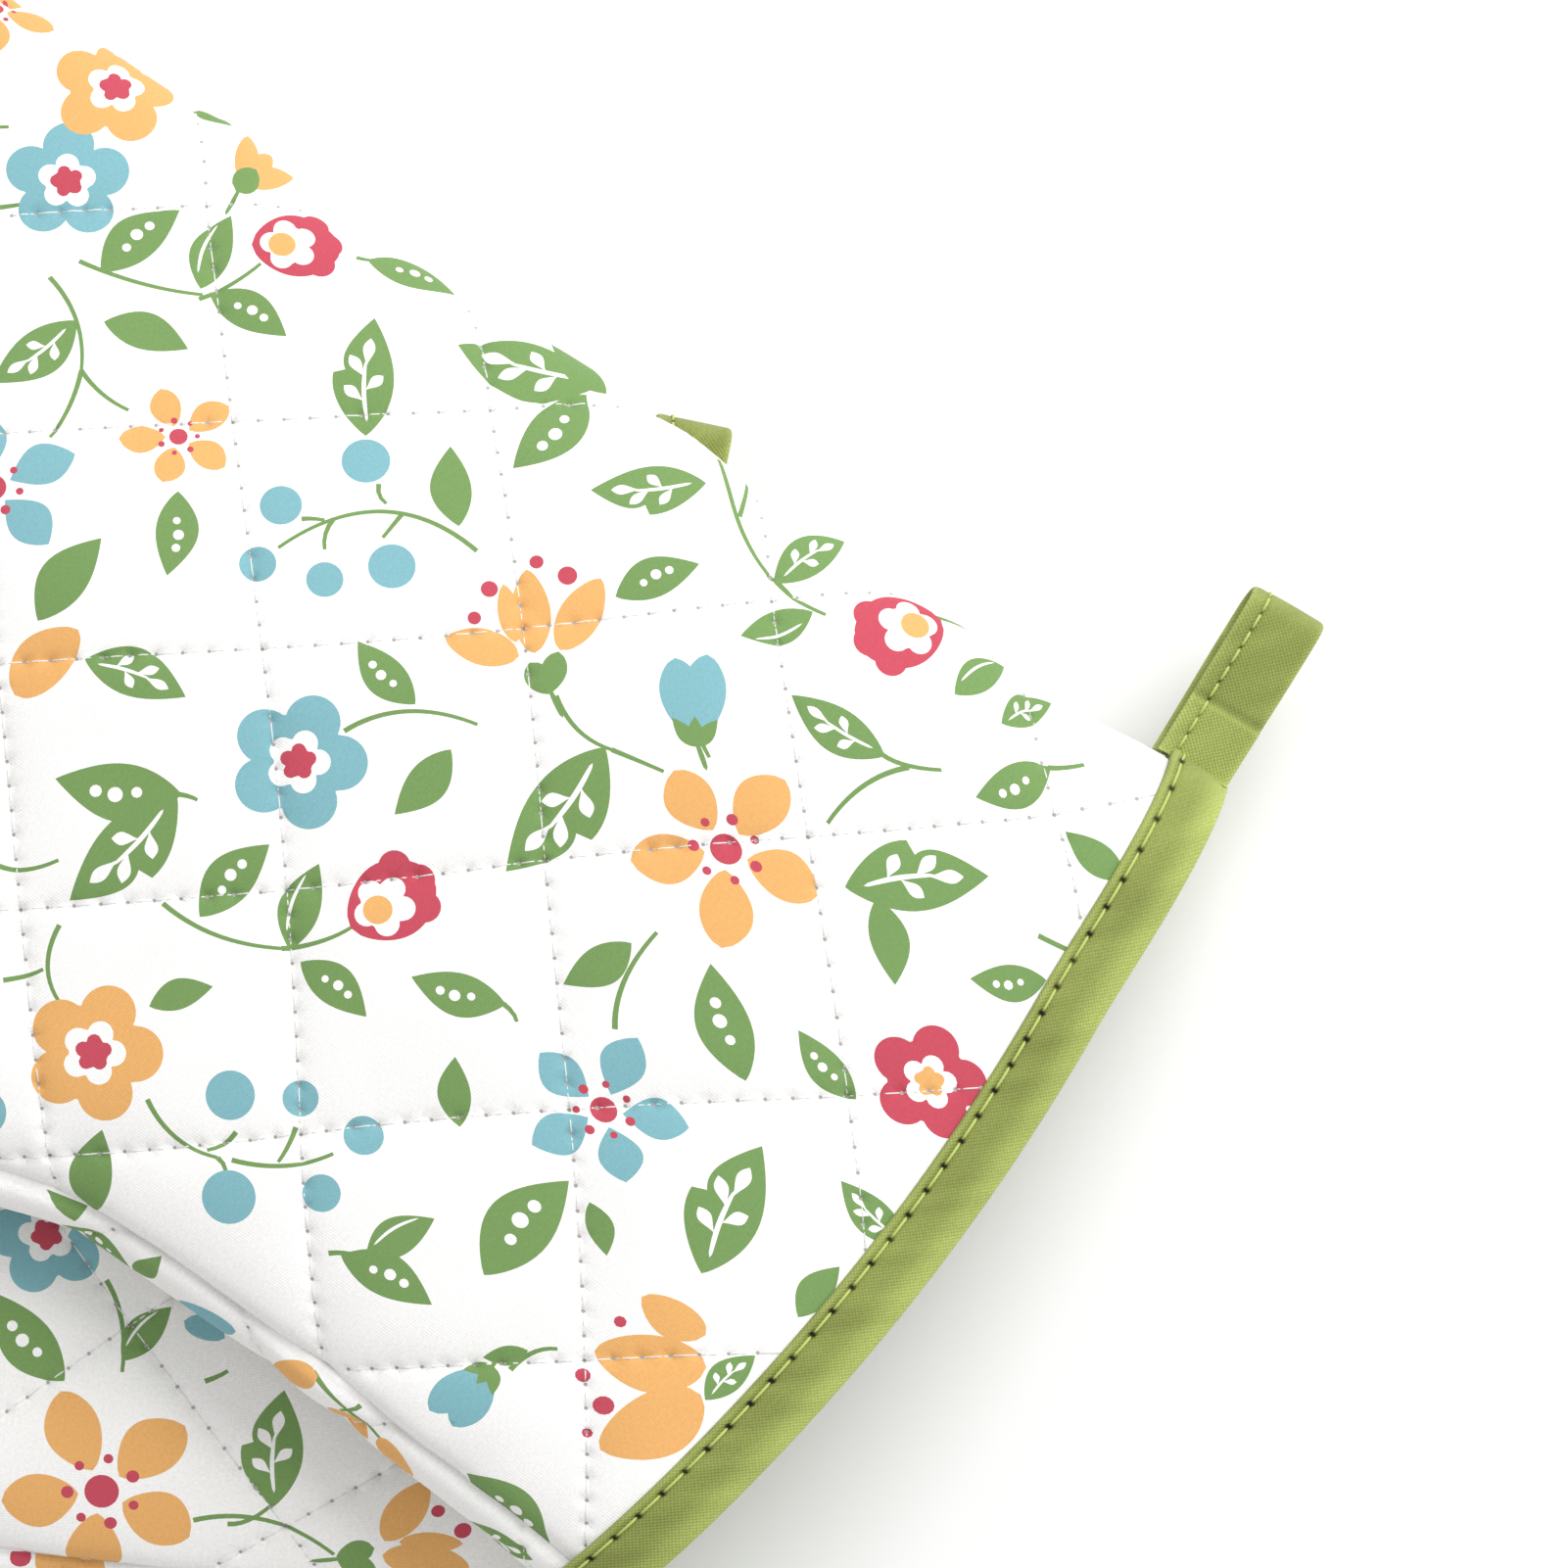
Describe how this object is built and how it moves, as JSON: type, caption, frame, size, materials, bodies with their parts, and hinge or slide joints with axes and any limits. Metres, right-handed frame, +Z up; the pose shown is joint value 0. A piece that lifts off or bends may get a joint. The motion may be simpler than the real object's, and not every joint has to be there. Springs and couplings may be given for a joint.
{
  "type": "pair of oven mitts",
  "caption": "Pair of quilted cotton oven mitts with bound cuffs and hanging loops, lying one over the other and fanned apart at the cuff.",
  "frame": {"origin": "centre of the pair's bounding box in plan, on the surface it lies on", "axes": "+Z up, +Y from the cuffs towards the fingertips along the line midway between the two mitts, +X away from the thumbs"},
  "size_m": [0.2934, 0.3768, 0.0547],
  "materials": {
    "printed_cotton": "white quilted cotton with a flower print",
    "green_tape": "plain woven cotton bias tape"
  },
  "bodies": {
    "root": {"lower_mitt_top_panel": "printed_cotton", "lower_mitt_under_panel": "printed_cotton", "lower_mitt_cuff_binding": "green_tape", "lower_mitt_hanging_loop": "green_tape", "upper_mitt_top_panel": "printed_cotton", "upper_mitt_under_panel": "printed_cotton", "upper_mitt_cuff_binding": "green_tape", "upper_mitt_hanging_loop": "green_tape"}
  },
  "joints": []
}
